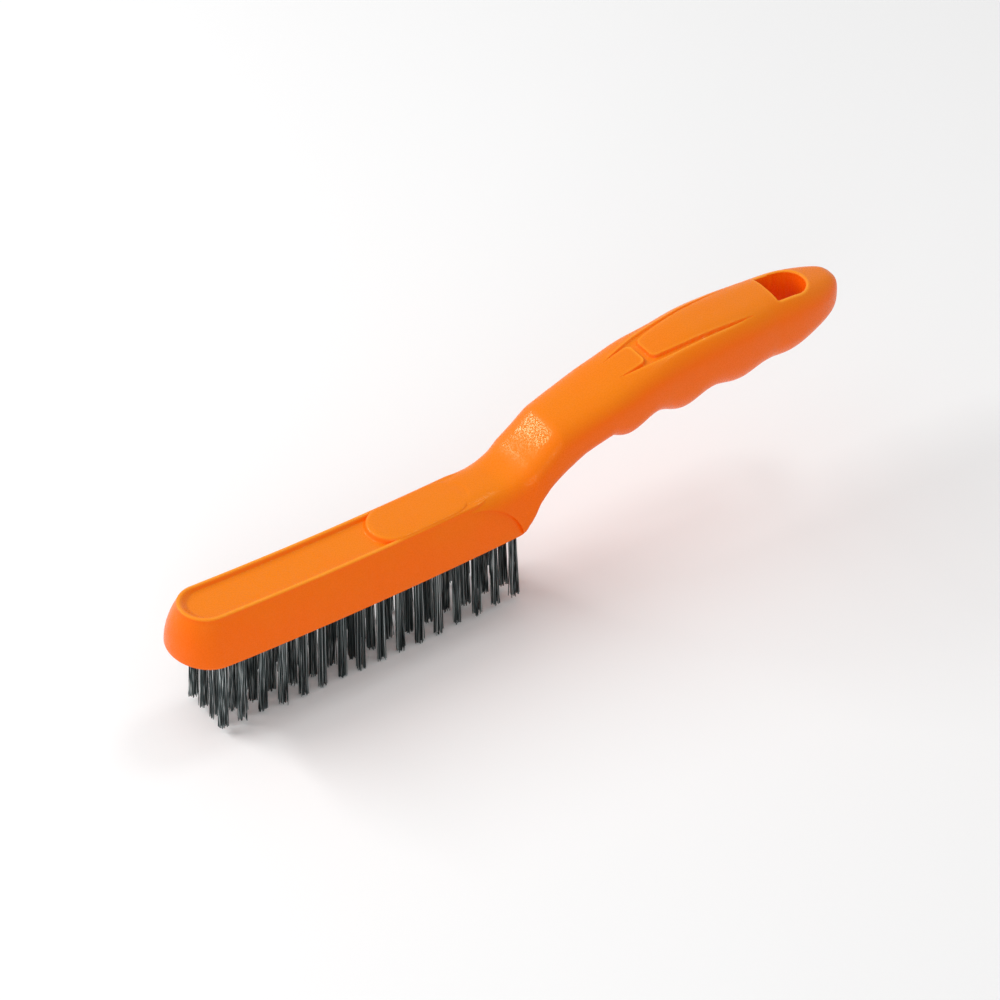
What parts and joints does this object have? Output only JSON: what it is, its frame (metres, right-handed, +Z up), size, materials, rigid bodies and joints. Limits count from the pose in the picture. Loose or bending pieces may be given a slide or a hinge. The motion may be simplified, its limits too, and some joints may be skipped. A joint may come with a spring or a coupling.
{
  "type": "wire brush",
  "caption": "Shoe-handle wire brush: long bowed block set with steel wire tufts, and a raised grip with finger hollows, a thumb channel and a hang hole, for scouring rust and paint.",
  "frame": {"origin": "middle of the overall box, in the plane of the lowest wire tips", "axes": "+X runs from the rounded nose of the block to the tail of the grip, +Z points up out of the block's back, and the near rows are at -Y"},
  "size_m": [0.2842, 0.0314, 0.0846],
  "materials": {
    "orange_polypropylene": "moulded polypropylene with a fine matt grain",
    "dark_steel_wire": "drawn carbon steel wire, dark and lightly oiled"
  },
  "bodies": {
    "root": {"handle": "orange_polypropylene", "tuft_clump_04": "dark_steel_wire", "tuft_clump_07": "dark_steel_wire", "tuft_clump_10": "dark_steel_wire", "tuft_clump_13": "dark_steel_wire", "tuft_clump_15": "dark_steel_wire", "tuft_far_inner_01": "dark_steel_wire", "tuft_far_inner_02": "dark_steel_wire", "tuft_far_inner_03": "dark_steel_wire", "tuft_far_inner_05": "dark_steel_wire", "tuft_far_inner_06": "dark_steel_wire", "tuft_far_inner_08": "dark_steel_wire", "tuft_far_inner_09": "dark_steel_wire", "tuft_far_inner_11": "dark_steel_wire", "tuft_far_inner_12": "dark_steel_wire", "tuft_far_inner_14": "dark_steel_wire", "tuft_far_inner_16": "dark_steel_wire", "tuft_far_outer_01": "dark_steel_wire", "tuft_far_outer_02": "dark_steel_wire", "tuft_far_outer_03": "dark_steel_wire", "tuft_far_outer_04": "dark_steel_wire", "tuft_far_outer_05": "dark_steel_wire", "tuft_far_outer_06": "dark_steel_wire", "tuft_far_outer_07": "dark_steel_wire", "tuft_far_outer_08": "dark_steel_wire", "tuft_far_outer_09": "dark_steel_wire", "tuft_far_outer_10": "dark_steel_wire", "tuft_far_outer_11": "dark_steel_wire", "tuft_far_outer_12": "dark_steel_wire", "tuft_far_outer_13": "dark_steel_wire", "tuft_far_outer_14": "dark_steel_wire", "tuft_far_outer_15": "dark_steel_wire", "tuft_far_outer_16": "dark_steel_wire", "tuft_near_inner_01": "dark_steel_wire", "tuft_near_inner_02": "dark_steel_wire", "tuft_near_inner_03": "dark_steel_wire", "tuft_near_inner_05": "dark_steel_wire", "tuft_near_inner_06": "dark_steel_wire", "tuft_near_inner_08": "dark_steel_wire", "tuft_near_inner_09": "dark_steel_wire", "tuft_near_inner_11": "dark_steel_wire", "tuft_near_inner_12": "dark_steel_wire", "tuft_near_inner_14": "dark_steel_wire", "tuft_near_inner_16": "dark_steel_wire", "tuft_near_outer_01": "dark_steel_wire", "tuft_near_outer_02": "dark_steel_wire", "tuft_near_outer_03": "dark_steel_wire", "tuft_near_outer_04": "dark_steel_wire", "tuft_near_outer_05": "dark_steel_wire", "tuft_near_outer_06": "dark_steel_wire", "tuft_near_outer_07": "dark_steel_wire", "tuft_near_outer_08": "dark_steel_wire", "tuft_near_outer_09": "dark_steel_wire", "tuft_near_outer_10": "dark_steel_wire", "tuft_near_outer_11": "dark_steel_wire", "tuft_near_outer_12": "dark_steel_wire", "tuft_near_outer_13": "dark_steel_wire", "tuft_near_outer_14": "dark_steel_wire", "tuft_near_outer_15": "dark_steel_wire", "tuft_near_outer_16": "dark_steel_wire"}
  },
  "joints": []
}
